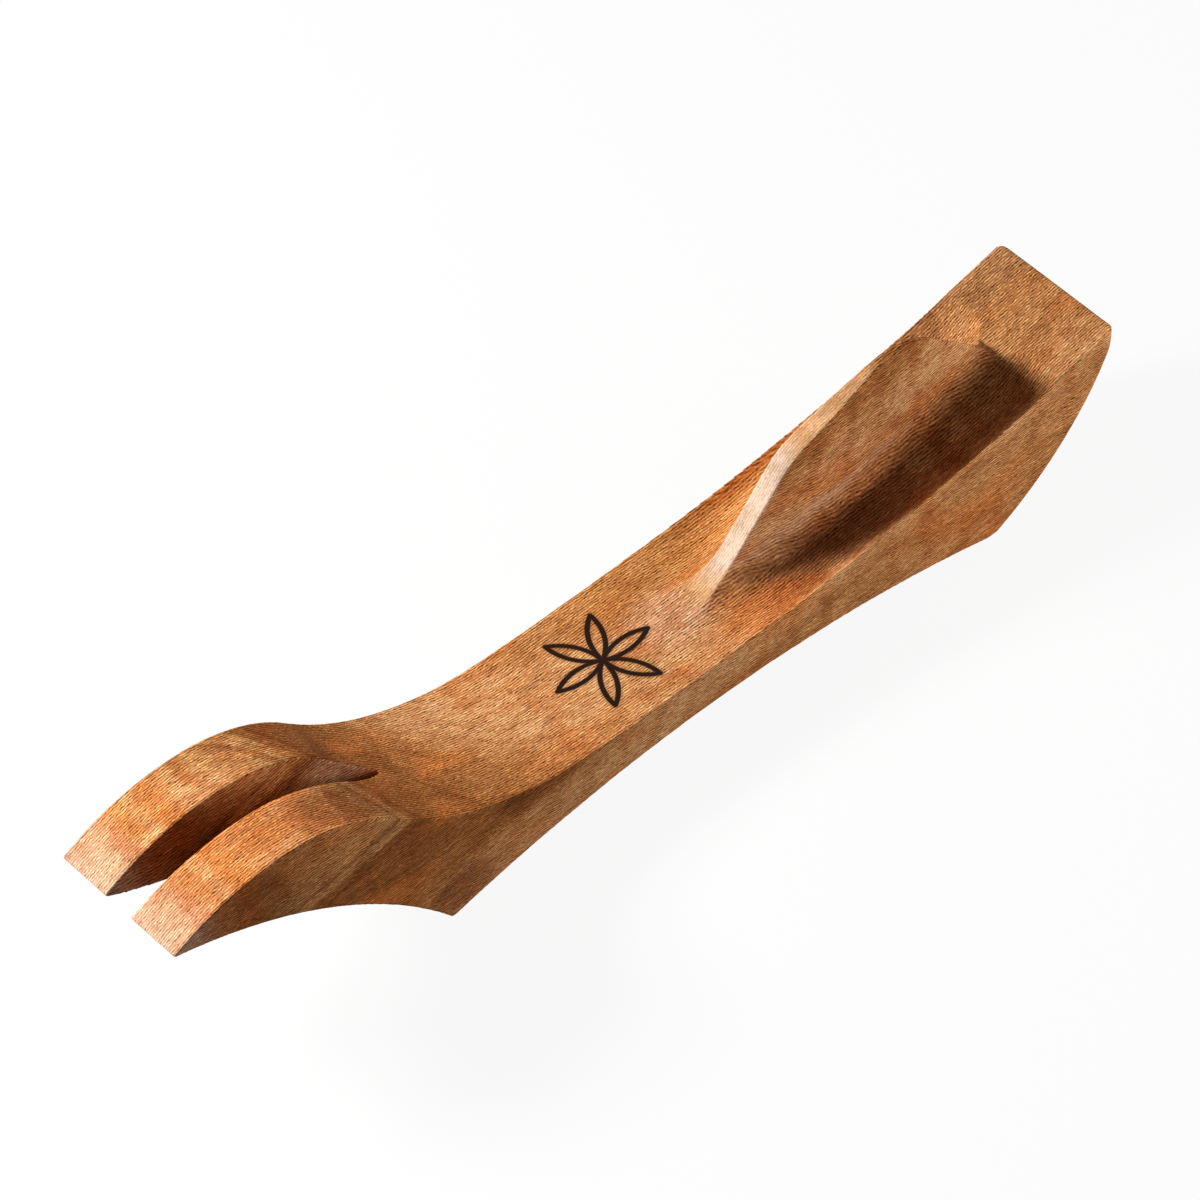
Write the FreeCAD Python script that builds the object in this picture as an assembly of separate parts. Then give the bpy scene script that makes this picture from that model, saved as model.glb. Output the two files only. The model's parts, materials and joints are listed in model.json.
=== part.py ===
import FreeCAD
import Part
import math
import os

from FreeCAD import Vector

# A two-pronged claw carved from one plank of hardwood. Seen from the side it is an arched
# body with a crested fork at one end and a blunt tail at the other. Two mirrored finger
# hollows are scooped from the top, and the wood left between them is a thin upright fin.
# X runs along the length from the fork to the tail, Y across the plank, Z up. The origin is
# on the surface it rests on, under the middle of its box.

# Overall sizes, in millimetres
LENGTH = 239.3              # fork tip to the tail's top edge, before that edge is eased
PLANK_WIDTH = 32.0          # thickness of the plank, side face to side face
HEIGHT = 50.4               # the crest of the prongs and the top of the fin both reach it

# Fork: heights, and distances from the tip
TIP_HEIGHT = 43.5           # top of the blunt nose
NOSE = 0.5                  # height of that nose
CREST_X = 25.0              # highest place of the prongs
CREST_BACK_RADIUS = 40.0    # round of the crest towards the body
UNDERCUT_BULGE = 6.6        # how far the underside of the prongs bows up from its chord
HEEL_X = 65.0               # front edge that it rests on

# Slot between the prongs, widths at the top face
SLOT_MOUTH = 7.2            # at the tip
SLOT_BELLY = 8.0            # where the walls start to close
SLOT_KERF = 0.5             # at the end, one saw cut wide
SLOT_LENGTH = 61.8          # tip to the end of the slot
SLOT_POINT = 16.0           # length over which the walls close
SLOT_TAPER = 5.5            # depth at which the slot is half as wide as at the top
SLOT_SECTIONS = 21          # cross-sections that shape the slot

# Body and tail
WAIST_X = 102.0             # from the tip to the level waist, the lowest place of the top face
WAIST_RUN = 9.0             # length of the level waist
WAIST_HEIGHT = 18.85
TAIL_HEIGHT = 36.75         # top edge of the tail
FOOT_INSET = 32.8           # from the tail's top edge in to the back edge that it rests on
ARCH_RISE = 9.2             # height of the arch between heel and foot
TAIL_BULGE = 5.0            # how far the tail end bows out from its chord

# Fin: side view of its crest, with distances from the tail's top edge
RAMP_INSET = 101.3          # where the crest leaves the body
RAMP_BLEND = 8.0            # length of the hollow curve at the foot of the ramp
SHOULDER_INSET = 74.5       # corner between the ramp and the long rise
SHOULDER_HEIGHT = 41.6
SHOULDER_RADIUS = 17.0
PEAK_INSET = 42.7           # corner between the long rise and the fall
PEAK_RADIUS = 16.0
FIN_INSET = 19.5            # where the crest runs into the tail
FIN_THICKNESS = 4.5         # crest on the ramp
FIN_EDGE = 1.0              # crest on the fall, almost a knife edge
FIN_THIN_FROM = 71.3        # the crest thins from here
FIN_THIN_TO = 37.3          # to here
FIN_DRAFT = 5.0             # slope of the fin's flanks, in degrees

# Finger hollows, with distances from the tail's top edge
HOLLOW_START = 108.5        # front end, where the floor leaves the top face
HOLLOW_FULL = 79.3          # full depth from here
HOLLOW_WALL = 26.3          # to here, where the end wall starts to rise
HOLLOW_END = 14.8           # end wall back at the top face
HOLLOW_DEPTH = 2.8          # floor under the line of the top face
HOLLOW_RADIUS = 8.6         # round between a flank and the floor
FRONT_ROUND = 0.3           # share of that round at the front end
ROUND_LIMIT = 0.7           # the most of the floor's width that this round may take
RIM_DEPTH = 0.4             # floor under that line at the side face
HOLLOW_SECTIONS = 19        # cross-sections that shape a hollow

# Eased edges
TAIL_EDGE = 1.0             # top edge of the tail
TAIL_CORNER = 2.2           # the two upright corners of the tail
FOOT_EDGE = 5.0             # the back edge that it rests on
HEEL_EDGE = 1.0             # the front edge that it rests on

OVERCUT = 2.0               # how far cutting bodies stand outside the wood
TOUCH = 0.001               # points closer than this are one
FACET = 0.02                # deviation of the facets on which its length is measured
SETTLE_PASSES = 6           # passes that set a corner where its round reaches its height


def on_side(x, z):
    return Vector(x, 0, z)


def mid_of_arc(start, end, bulge):
    """Middle of an arc that bows out by bulge on the left of the way from start to end."""
    way = end - start
    left = Vector(-way.z, 0, way.x).normalize()
    return (start + end) * 0.5 + left * bulge


def bowed(start, end, bulge):
    return Part.Arc(start, mid_of_arc(start, end, bulge), end).toShape()


def arc_about(centre, radius, start, end):
    """Arc in the side view, the short way round centre."""
    middle = (start + end) * 0.5 - centre
    return Part.Arc(start, centre + middle.normalize() * radius, end).toShape()


def corner_round(before, corner, after, radius):
    """Centre, start and end of the round at the corner of two straight runs."""
    back = (before - corner).normalize()
    on = (after - corner).normalize()
    half_angle = back.getAngle(on) / 2
    reach = radius / math.tan(half_angle)
    bisector = (back + on).normalize()
    centre = corner + bisector * (radius / math.sin(half_angle))
    return centre, corner + back * reach, corner + on * reach


def rounded_run(points, radii):
    """Straight runs through points, with each inner corner rounded by its radius."""
    edges = []
    last = points[0]
    for before, corner, after, radius in zip(points, points[1:], points[2:], radii):
        centre, start, end = corner_round(before, corner, after, radius)
        if start.distanceToPoint(last) > TOUCH:
            edges.append(Part.LineSegment(last, start).toShape())
        edges.append(arc_about(centre, radius, start, end))
        last = end
    edges.append(Part.LineSegment(last, points[-1]).toShape())
    return edges


def crossing(first, second, near):
    """Where two circles, each a centre and a radius, cross: the place nearest to a point."""
    (centre, radius), (other_centre, other_radius) = first, second
    way = other_centre - centre
    along = (radius ** 2 - other_radius ** 2 + way.Length ** 2) / (2 * way.Length)
    aside = math.sqrt(radius ** 2 - along ** 2)
    way.normalize()
    left = Vector(-way.z, 0, way.x)
    middle = centre + way * along
    return min(middle + left * aside, middle - left * aside, key=near.distanceToPoint)


def inside_circle(arc, depth):
    """Circle that runs inside the wood, as deep as given, along an arc of the outline."""
    centre = arc.Curve.Center
    ahead = arc.tangentAt(arc.FirstParameter)
    inwards = Vector(ahead.z, 0, -ahead.x)
    bows_out = inwards.dot(centre - arc.valueAt(arc.FirstParameter)) > 0
    return centre, arc.Curve.Radius - depth if bows_out else arc.Curve.Radius + depth


def round_centre(arc, after, radius):
    """Centre of the round at the corner where an arc of the outline meets the one after it."""
    corner = arc.valueAt(arc.LastParameter)
    return crossing(inside_circle(arc, radius), inside_circle(after, radius), corner)


def rounded_arcs(arcs, radii):
    """Arcs of the outline, end to end, with the corner after each rounded by its radius."""
    def touching(arc, centre):
        way = centre - arc.Curve.Center
        return arc.Curve.Center + way.normalize() * arc.Curve.Radius

    edges = []
    last = arcs[0].valueAt(arcs[0].FirstParameter)
    for arc, after, radius in zip(arcs, arcs[1:], radii):
        centre = round_centre(arc, after, radius)
        start = touching(arc, centre)
        end = touching(after, centre)
        edges.append(arc_about(arc.Curve.Center, arc.Curve.Radius, last, start))
        edges.append(arc_about(centre, radius, start, end))
        last = end
    curve = arcs[-1].Curve
    edges.append(arc_about(curve.Center, curve.Radius, last, arcs[-1].valueAt(arcs[-1].LastParameter)))
    return edges


# Top face in the side view: the crest of the prongs, an S down to a level waist, and one
# long hollow curve from there to the tail. Every curve is level at the crest and the waist.
crest = on_side(CREST_X, HEIGHT)
waist = on_side(WAIST_X, WAIST_HEIGHT)
waist_end = on_side(WAIST_X + WAIST_RUN, WAIST_HEIGHT)
tip = on_side(0, TIP_HEIGHT)
tail_top = on_side(LENGTH, TAIL_HEIGHT)

nose_drop = HEIGHT - TIP_HEIGHT
front_radius = (CREST_X ** 2 + nose_drop ** 2) / (2 * nose_drop)
front_centre = crest - on_side(0, front_radius)

fall = HEIGHT - WAIST_HEIGHT
run = WAIST_X - CREST_X
root_radius = (run ** 2 + fall ** 2) / (2 * fall) - CREST_BACK_RADIUS
back_centre = crest - on_side(0, CREST_BACK_RADIUS)
root_centre = waist + on_side(0, root_radius)
turn = back_centre + (root_centre - back_centre).normalize() * CREST_BACK_RADIUS

tail_rise = TAIL_HEIGHT - WAIST_HEIGHT
tail_run = LENGTH - waist_end.x
body_radius = (tail_run ** 2 + tail_rise ** 2) / (2 * tail_rise)
body_centre = waist_end + on_side(0, body_radius)


def under_circle(centre, radius, x):
    return centre.z - math.sqrt(radius ** 2 - (x - centre.x) ** 2)


def over_circle(centre, radius, x):
    return centre.z + math.sqrt(radius ** 2 - (x - centre.x) ** 2)


def top_height(x):
    """Height of the top face, without the fin."""
    if x < crest.x:
        return over_circle(front_centre, front_radius, x)
    if x < turn.x:
        return over_circle(back_centre, CREST_BACK_RADIUS, x)
    if x < waist.x:
        return under_circle(root_centre, root_radius, x)
    if x < waist_end.x:
        return WAIST_HEIGHT
    return under_circle(body_centre, body_radius, x)


# Crest of the fin in the side view. The foot of the ramp starts along the top face, and its
# hollow curve is as long before the corner as after it. The corner at the peak is set where
# its round reaches the height of the wood.
ramp_start = on_side(LENGTH - RAMP_INSET, top_height(LENGTH - RAMP_INSET))
ramp_radial = body_centre - ramp_start
ramp_corner = ramp_start + on_side(ramp_radial.z, -ramp_radial.x).normalize() * RAMP_BLEND
shoulder = on_side(LENGTH - SHOULDER_INSET, SHOULDER_HEIGHT)
peak = on_side(LENGTH - PEAK_INSET, HEIGHT)
fin_end = on_side(LENGTH - FIN_INSET, top_height(LENGTH - FIN_INSET))
ramp_angle = (ramp_start - ramp_corner).getAngle(shoulder - ramp_corner)
ramp_radius = RAMP_BLEND * math.tan(ramp_angle / 2)
for settle in range(SETTLE_PASSES):
    peak.z += HEIGHT - PEAK_RADIUS - corner_round(shoulder, peak, fin_end, PEAK_RADIUS)[0].z


def crest_height(x):
    """Height of the fin's crest before its corners are rounded, or of the top face."""
    line = [ramp_corner, shoulder, peak, fin_end]
    for start, end in zip(line, line[1:]):
        if start.x <= x <= end.x:
            return start.z + (end.z - start.z) * (x - start.x) / (end.x - start.x)
    return top_height(x)


# Tail and underside in the side view: the top of the tail, its end, the arch from foot to
# heel, and the undercut of the prongs. The corners at the heel and the foot are set low by
# as much as rounding them raises their lowest place, so that both rest on the same surface.
nose = on_side(0, TIP_HEIGHT - NOSE)
heel = on_side(HEEL_X, 0)
foot = on_side(LENGTH - FOOT_INSET, 0)
for settle in range(SETTLE_PASSES):
    tail_face = arc_about(body_centre, body_radius, fin_end, tail_top)
    tail_end = bowed(tail_top, foot, TAIL_BULGE)
    arch = bowed(foot, heel, -ARCH_RISE)
    undercut = bowed(heel, nose, -UNDERCUT_BULGE)
    foot.z -= round_centre(tail_end, arch, FOOT_EDGE).z - FOOT_EDGE
    heel.z -= round_centre(arch, undercut, HEEL_EDGE).z - HEEL_EDGE


def make_block():
    """The plank sawn to its side view, with the fin's crest still as wide as the plank."""
    edges = [
        Part.LineSegment(nose, tip).toShape(),
        arc_about(front_centre, front_radius, tip, crest),
        arc_about(back_centre, CREST_BACK_RADIUS, crest, turn),
        arc_about(root_centre, root_radius, turn, waist),
        Part.LineSegment(waist, waist_end).toShape(),
        arc_about(body_centre, body_radius, waist_end, ramp_start),
    ]
    fin_line = [ramp_start, ramp_corner, shoulder, peak, fin_end]
    edges += rounded_run(fin_line, [ramp_radius, SHOULDER_RADIUS, PEAK_RADIUS])
    edges += rounded_arcs([tail_face, tail_end, arch, undercut], [TAIL_EDGE, FOOT_EDGE, HEEL_EDGE])
    outline = Part.Face(Part.Wire(edges))
    outline.translate(Vector(0, -PLANK_WIDTH / 2, 0))
    return outline.extrude(Vector(0, PLANK_WIDTH, 0))


def corner_waste(block):
    """What rounding takes off the upright corner of the tail on the +Y side."""
    end = block.BoundBox.XMax
    half = PLANK_WIDTH / 2
    centre = Vector(end - TAIL_CORNER, half - TAIL_CORNER, 0)
    on_end = Vector(end, centre.y, 0)
    on_side_face = Vector(centre.x, half, 0)
    middle = centre + Vector(1, 1, 0).normalize() * TAIL_CORNER
    beyond = Vector(end + OVERCUT, half + OVERCUT, 0)
    straight = Part.makePolygon([
        on_side_face,
        Vector(on_side_face.x, beyond.y, 0),
        beyond,
        Vector(beyond.x, on_end.y, 0),
        on_end,
    ])
    arc = Part.Arc(on_end, middle, on_side_face).toShape()
    outline = Part.Face(Part.Wire(straight.Edges + [arc]))
    return outline.extrude(Vector(0, 0, TAIL_HEIGHT + OVERCUT))


def slot_half(x):
    """Half the width of the slot at the top face: nearly level walls, then a pointed arch."""
    mouth, belly, end = (width / 2 for width in (SLOT_MOUTH, SLOT_BELLY, SLOT_KERF))
    closing = SLOT_LENGTH - SLOT_POINT
    if x < closing:
        return mouth + (belly - mouth) * x / closing
    radius = (SLOT_POINT ** 2 + (belly - end) ** 2) / (2 * (belly - end))
    return belly - radius + math.sqrt(radius ** 2 - (x - closing) ** 2)


def slot_section(x):
    """Cross-section of the slot, which narrows downwards between the prongs."""
    centre = undercut.Curve.Center
    top = top_height(max(x, 0))
    depth = top - over_circle(centre, undercut.Curve.Radius, max(x, 0))
    upper = slot_half(max(x, 0))
    kerf = SLOT_KERF / 2
    lower = kerf + (upper - kerf) / (1 + depth / SLOT_TAPER)
    slope = (upper - lower) / depth * OVERCUT
    high = top + OVERCUT
    low = top - depth - OVERCUT
    return Part.makePolygon([
        Vector(x, -upper - slope, high),
        Vector(x, upper + slope, high),
        Vector(x, lower - slope, low),
        Vector(x, slope - lower, low),
        Vector(x, -upper - slope, high),
    ])


def make_slot():
    """The slot between the prongs, lofted through its cross-sections."""
    step = (SLOT_LENGTH + OVERCUT) / (SLOT_SECTIONS - 1)
    sections = [slot_section(step * i - OVERCUT) for i in range(SLOT_SECTIONS)]
    return Part.makeLoft(sections, True, False)


def hollow_front(x):
    """How far x lies on the way from a hollow's front end to where it has its full depth."""
    return min((HOLLOW_START - LENGTH + x) / (HOLLOW_START - HOLLOW_FULL), 1)


def hollow_share(x):
    """Share of a hollow's depth at x: it swells from the front and ends in a steeper wall."""
    inset = LENGTH - x
    front = hollow_front(x)
    back = (inset - HOLLOW_END) / (HOLLOW_WALL - HOLLOW_END)
    quarter = math.pi / 2
    swell = math.sin(quarter * front) * (1 + front) / 2
    return swell * math.sin(quarter * min(back, 1))


def fin_half(x):
    """Half the thickness of the fin at its crest."""
    share = (FIN_THIN_FROM - (LENGTH - x)) / (FIN_THIN_FROM - FIN_THIN_TO)
    share = min(max(share, 0), 1)
    ease = share * share * (3 - 2 * share)
    return (FIN_THICKNESS + (FIN_EDGE - FIN_THICKNESS) * ease) / 2


def hollow_section(x):
    """Cross-section of a hollow: flank of the fin, round, floor up to the rim, open above."""
    half = PLANK_WIDTH / 2
    cap = peak.z + OVERCUT
    top = top_height(x)
    trough = top - HOLLOW_DEPTH * hollow_share(x)
    rim = top - RIM_DEPTH * hollow_share(x)
    draft = math.radians(FIN_DRAFT)
    crest_z = max(crest_height(x), top)
    widest = min(HOLLOW_RADIUS, ROUND_LIMIT * (half - fin_half(x)))
    radius = widest * (FRONT_ROUND + (1 - FRONT_ROUND) * max(hollow_front(x), 0))
    drop = crest_z - trough - radius * (1 - math.sin(draft))
    centre_y = fin_half(x) + drop * math.tan(draft) + radius * math.cos(draft)
    centre = Vector(x, centre_y, trough + radius)

    def around(angle):
        return centre + Vector(0, math.cos(angle), math.sin(angle)) * radius

    flank_foot = around(math.pi + draft)
    low = around(1.5 * math.pi)
    middle = around((2.5 * math.pi + draft) / 2)
    flank_top = Vector(x, flank_foot.y - (cap - flank_foot.z) * math.tan(draft), cap)
    outside = half + OVERCUT
    share = (half - low.y) / (outside - low.y)
    rim_out = Vector(x, outside, low.z + (rim - low.z) / share ** 2)
    floor = Part.BezierCurve()
    floor.setPoles([low, Vector(x, (low.y + outside) / 2, low.z), rim_out])
    cap_out = Vector(x, outside, cap)
    return Part.Wire([
        Part.LineSegment(flank_top, flank_foot).toShape(),
        Part.Arc(flank_foot, middle, low).toShape(),
        floor.toShape(),
        Part.LineSegment(rim_out, cap_out).toShape(),
        Part.LineSegment(cap_out, flank_top).toShape(),
    ])


def make_hollow():
    """The hollow on the +Y side, lofted through its cross-sections."""
    start = LENGTH - HOLLOW_START - OVERCUT
    end = LENGTH - HOLLOW_END + OVERCUT
    step = (end - start) / (HOLLOW_SECTIONS - 1)
    sections = [hollow_section(start + step * i) for i in range(HOLLOW_SECTIONS)]
    return Part.makeLoft(sections, True, False)


def make_body():
    block = make_block()
    body = block.cut(make_slot())
    for waste in (corner_waste(block), make_hollow()):
        body = body.cut(waste).cut(waste.mirror(Vector(0, 0, 0), Vector(0, 1, 0)))
    points, facets = body.tessellate(FACET)
    ends = [point.x for point in points]
    body.translate(Vector(-(min(ends) + max(ends)) / 2, 0, 0))
    return body


body = make_body()
os.makedirs("parts", exist_ok=True)
body.exportStep("parts/carved_body.step")
print("solids", len(body.Solids), "valid", body.isValid(), "faces", len(body.Faces))
print("volume cm3", round(body.Volume / 1000, 2))
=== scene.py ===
# %% [markdown]
# A carved claw in curly cherry
#
# The object is one piece of hardwood: two prongs with a slot between them, a low waist, a thin fin
# with a finger hollow on each side, and a blunt tail. A maker would saw the side view out of a
# plank, cut the slot, gouge the two hollows and then sand and oil the whole. This lesson follows
# that order. The CAD model is the sawn and gouged blank, and Blender does the sanding and the wood.

# %% The frame
import json
import math

import bpy
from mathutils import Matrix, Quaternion, Vector

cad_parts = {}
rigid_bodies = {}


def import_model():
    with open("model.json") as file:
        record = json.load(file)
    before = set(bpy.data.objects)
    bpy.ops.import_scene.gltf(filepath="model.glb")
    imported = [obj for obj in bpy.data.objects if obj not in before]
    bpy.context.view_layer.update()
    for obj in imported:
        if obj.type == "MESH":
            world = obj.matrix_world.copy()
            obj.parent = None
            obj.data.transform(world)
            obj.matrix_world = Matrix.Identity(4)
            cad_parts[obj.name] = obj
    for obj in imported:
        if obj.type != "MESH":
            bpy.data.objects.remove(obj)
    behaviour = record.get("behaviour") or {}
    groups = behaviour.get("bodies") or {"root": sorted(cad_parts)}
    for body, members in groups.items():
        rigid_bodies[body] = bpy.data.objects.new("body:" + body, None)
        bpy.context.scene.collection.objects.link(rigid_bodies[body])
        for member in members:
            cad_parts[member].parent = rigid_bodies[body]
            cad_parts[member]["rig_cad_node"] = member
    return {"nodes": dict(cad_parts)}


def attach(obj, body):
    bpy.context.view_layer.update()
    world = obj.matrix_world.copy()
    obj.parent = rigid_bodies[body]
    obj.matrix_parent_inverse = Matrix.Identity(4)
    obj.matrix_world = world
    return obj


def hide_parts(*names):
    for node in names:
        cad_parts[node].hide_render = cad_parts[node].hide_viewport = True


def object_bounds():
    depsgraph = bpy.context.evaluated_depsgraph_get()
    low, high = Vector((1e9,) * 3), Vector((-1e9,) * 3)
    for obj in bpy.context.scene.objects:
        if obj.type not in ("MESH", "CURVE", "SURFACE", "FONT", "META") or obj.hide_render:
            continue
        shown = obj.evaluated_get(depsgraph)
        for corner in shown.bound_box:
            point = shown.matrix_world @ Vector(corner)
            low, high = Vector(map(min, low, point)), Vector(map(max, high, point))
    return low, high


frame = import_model()
cad_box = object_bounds()
MM = 0.001
print("CAD box in mm:", [[round(c / MM, 1) for c in corner] for corner in cad_box])

# %% [markdown]
# The camera stands where the photographer stood: in front of the prongs, a little to the left, and
# high enough to look down on the top face at nearly 50 degrees. A long lens keeps the edges of the
# plank close to parallel. The small roll is the photographer's own.

# %% The camera
VIEW_HEADING = math.radians(49.247)
VIEW_DOWN = math.radians(48.631)
VIEW_ROLL = math.radians(-1.727)
VIEW_DISTANCE = 1377.1 * MM
VIEW_AIM = Vector((-1.886, 0.0, 36.46)) * MM
IMAGE_SIDE = 1200
FOCAL_PIXELS = 7296.2
SENSOR_WIDTH = 36.0
FAR_CLIP = 20.0

look = Vector((
    math.cos(VIEW_DOWN) * math.cos(VIEW_HEADING),
    math.cos(VIEW_DOWN) * math.sin(VIEW_HEADING),
    -math.sin(VIEW_DOWN),
))
bpy.ops.object.camera_add(location=VIEW_AIM - look * VIEW_DISTANCE)
camera = bpy.context.object
camera.rotation_mode = "QUATERNION"
level = look.to_track_quat("-Z", "Y")
camera.rotation_quaternion = level @ Quaternion((0, 0, 1), VIEW_ROLL)
camera.data.sensor_width = SENSOR_WIDTH
camera.data.lens = FOCAL_PIXELS / IMAGE_SIDE * SENSOR_WIDTH
camera.data.clip_end = FAR_CLIP
bpy.context.scene.camera = camera
bpy.context.scene.view_settings.view_transform = "Standard"
print("camera at", [round(c, 3) for c in camera.location], "lens", round(camera.data.lens, 1))

# %% [markdown]
# Every material below is a small network of nodes, so one function adds a node, sets its options
# and joins its inputs. Colours are written as the hex values a colour picker shows, and one more
# function turns them into the linear light that a shader works in.

# %% Helpers for materials
def linear(hex_colour):
    """The linear RGBA of an sRGB colour such as "#c08040"."""
    parts = [int(hex_colour[i:i + 2], 16) / 255 for i in (1, 3, 5)]
    return [p / 12.92 if p <= 0.04045 else ((p + 0.055) / 1.055) ** 2.4 for p in parts] + [1.0]


def add(tree, kind, inputs=None, stops=None, **options):
    """Adds a node to the tree. A linked input takes another node's output, and a ramp its stops."""
    made = tree.nodes.new("ShaderNode" + kind)
    for name, value in options.items():
        setattr(made, name, value)
    for socket, value in (inputs or {}).items():
        if isinstance(value, bpy.types.NodeSocket):
            tree.links.new(value, made.inputs[socket])
        else:
            made.inputs[socket].default_value = value
    for number, (place, colour) in enumerate(stops or []):
        ends = made.color_ramp.elements
        stop = ends[number] if number < 2 else ends.new(place)
        stop.position = place
        stop.color = colour
    return made


def new_material(name):
    """An empty node material and its output node."""
    made = bpy.data.materials.new(name)
    made.use_nodes = True
    made.node_tree.nodes.clear()
    return made, made.node_tree, add(made.node_tree, "OutputMaterial")


print("a mid grey in linear light:", round(linear("#808080")[0], 3))

# %% [markdown]
# The floor is a sheet of matt white paper. The camera sees it mostly as plain white, and the rest of
# what it sees is the lit paper with the object's shadow. What it throws back on the wood is kept as
# low as from a grey table, because the underside and the slot are dark in the picture.

# %% The paper floor
FLOOR_SIDE = 8.0
FLOOR_WHITE = 0.92
PAPER = "#f6f6f4"
TABLE = "#8a8a88"


def seen_rays(tree):
    """One where a ray comes from the camera, a gloss or a glass, and nought elsewhere."""
    ray = add(tree, "LightPath")
    seen = add(tree, "Math", {0: ray.outputs["Is Camera Ray"], 1: ray.outputs["Is Glossy Ray"]},
               operation="MAXIMUM")
    seen = add(tree, "Math", {0: seen.outputs[0], 1: ray.outputs["Is Transmission Ray"]},
               operation="MAXIMUM")
    return seen.outputs[0]


bpy.ops.mesh.primitive_plane_add(size=FLOOR_SIDE, location=(0, 0, 0))
floor = bpy.context.object
floor.name = "paper_floor"
paper, tree, out = new_material("matt_white_paper")
matt = add(tree, "BsdfDiffuse", {"Color": linear(PAPER)})
white = add(tree, "Emission", {"Color": (1, 1, 1, 1), "Strength": 1.0})
bright = add(tree, "MixShader", {0: FLOOR_WHITE, 1: matt.outputs[0], 2: white.outputs[0]})
grey = add(tree, "BsdfDiffuse", {"Color": linear(TABLE)})
mixed = add(tree, "MixShader", {0: seen_rays(tree), 1: grey.outputs[0], 2: bright.outputs[0]})
tree.links.new(mixed.outputs[0], out.inputs["Surface"])
floor.data.materials.append(paper)
print("floor", FLOOR_SIDE, "m wide")

# %% [markdown]
# One small soft lamp hangs behind the prongs, to the left. It makes the warm glow on the tips and
# on the front of the fin, leaves the near hollow in the fin's shadow and fades towards the tail.
# A large weak card stands low in front and lights the near side face a little more than the paper
# does. The room itself is dim.

# %% The lamps and the room
LAMP_AT = Vector((-358, 331, 390)) * MM
LAMP_SIDE = 160 * MM
LAMP_WATTS = 5.4
CARD_AT = Vector((350, -300, 58)) * MM
CARD_WIDTH = 400 * MM
CARD_HEIGHT = 50 * MM
CARD_WATTS = 1.25
LIT_POINT = Vector((0, 0, 25)) * MM
ROOM_LIGHT = 0.08


def hang_lamp(name, place, width, height, watts):
    """A flat lamp that faces the middle of the object."""
    bpy.ops.object.light_add(type="AREA", location=place)
    lamp = bpy.context.object
    lamp.name = name
    lamp.data.shape = "RECTANGLE"
    lamp.data.size = width
    lamp.data.size_y = height
    lamp.data.energy = watts
    lamp.visible_camera = False
    lamp.rotation_mode = "QUATERNION"
    lamp.rotation_quaternion = (LIT_POINT - place).to_track_quat("-Z", "Y")
    return lamp


hang_lamp("soft_lamp", LAMP_AT, LAMP_SIDE, LAMP_SIDE, LAMP_WATTS)
hang_lamp("front_card", CARD_AT, CARD_WIDTH, CARD_HEIGHT, CARD_WATTS)
room = bpy.data.worlds.new("white_room")
bpy.context.scene.world = room
room.use_nodes = True
tree = room.node_tree
tree.nodes.clear()
dim = add(tree, "Background", {"Color": (1, 1, 1, 1), "Strength": ROOM_LIGHT})
bright = add(tree, "Background", {"Color": (1, 1, 1, 1), "Strength": 1.0})
mixed = add(tree, "MixShader", {0: seen_rays(tree), 1: dim.outputs[0], 2: bright.outputs[0]})
out = add(tree, "OutputWorld")
tree.links.new(mixed.outputs[0], out.inputs["Surface"])

# %% [markdown]
# The body starts as a copy of the CAD blank. Its triangles are loose, so they are merged first. A
# voxel remesh then lays an even net of small faces over the whole, fine enough for the thin end of
# the fin, and a little smoothing takes the arrises off as sandpaper does. A last, very shallow
# displacement leaves the flats as uneven as hand sanding does. It only takes wood away, so the
# body stays inside the blank. At the end a decimation thins the net where it is flat.

# %% The sanded body
MERGE_WITHIN = 0.001 * MM
NET = 0.3 * MM
SAND_STRENGTH = 0.5
SAND_PASSES = 8
KEPT_SHARE = 0.26
HAND_WAVE = 18 * MM
HAND_DEPTH = 0.12 * MM

blank = frame["nodes"]["carved_body"]
bpy.ops.object.select_all(action="DESELECT")
bpy.context.view_layer.objects.active = blank
blank.select_set(True)
bpy.ops.object.duplicate()
body = bpy.context.object
body.name = "sanded_body"
del body["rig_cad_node"]
bpy.ops.object.mode_set(mode="EDIT")
bpy.ops.mesh.select_all(action="SELECT")
bpy.ops.mesh.remove_doubles(threshold=MERGE_WITHIN)
bpy.ops.object.mode_set(mode="OBJECT")
net = body.modifiers.new("net", "REMESH")
net.mode = "VOXEL"
net.voxel_size = NET
bpy.ops.object.modifier_apply(modifier=net.name)
sand = body.modifiers.new("sand", "SMOOTH")
sand.factor = SAND_STRENGTH
sand.iterations = SAND_PASSES
bpy.ops.object.modifier_apply(modifier=sand.name)
wave = bpy.data.textures.new("hand_wave", "CLOUDS")
wave.noise_scale = HAND_WAVE
hand = body.modifiers.new("hand", "DISPLACE")
hand.texture = wave
hand.texture_coords = "LOCAL"
hand.mid_level = 1.0
hand.strength = HAND_DEPTH
bpy.ops.object.modifier_apply(modifier=hand.name)
thin = body.modifiers.new("thin", "DECIMATE")
thin.ratio = KEPT_SHARE
bpy.ops.object.modifier_apply(modifier=thin.name)
bpy.ops.object.shade_smooth()
body.data.calc_loop_triangles()
print("sanded body:", len(body.data.loop_triangles), "triangles")

# %% [markdown]
# The wood is cherry with a curly figure. A solid pattern suits it, because real figure runs right
# through the plank: what shows on the top face carries on down the sides. All of it is worked out
# in millimetres from the object's own coordinates, measured from the tips of the prongs.

# %% Places in the wood
TIP = cad_box[0].x / MM

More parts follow.
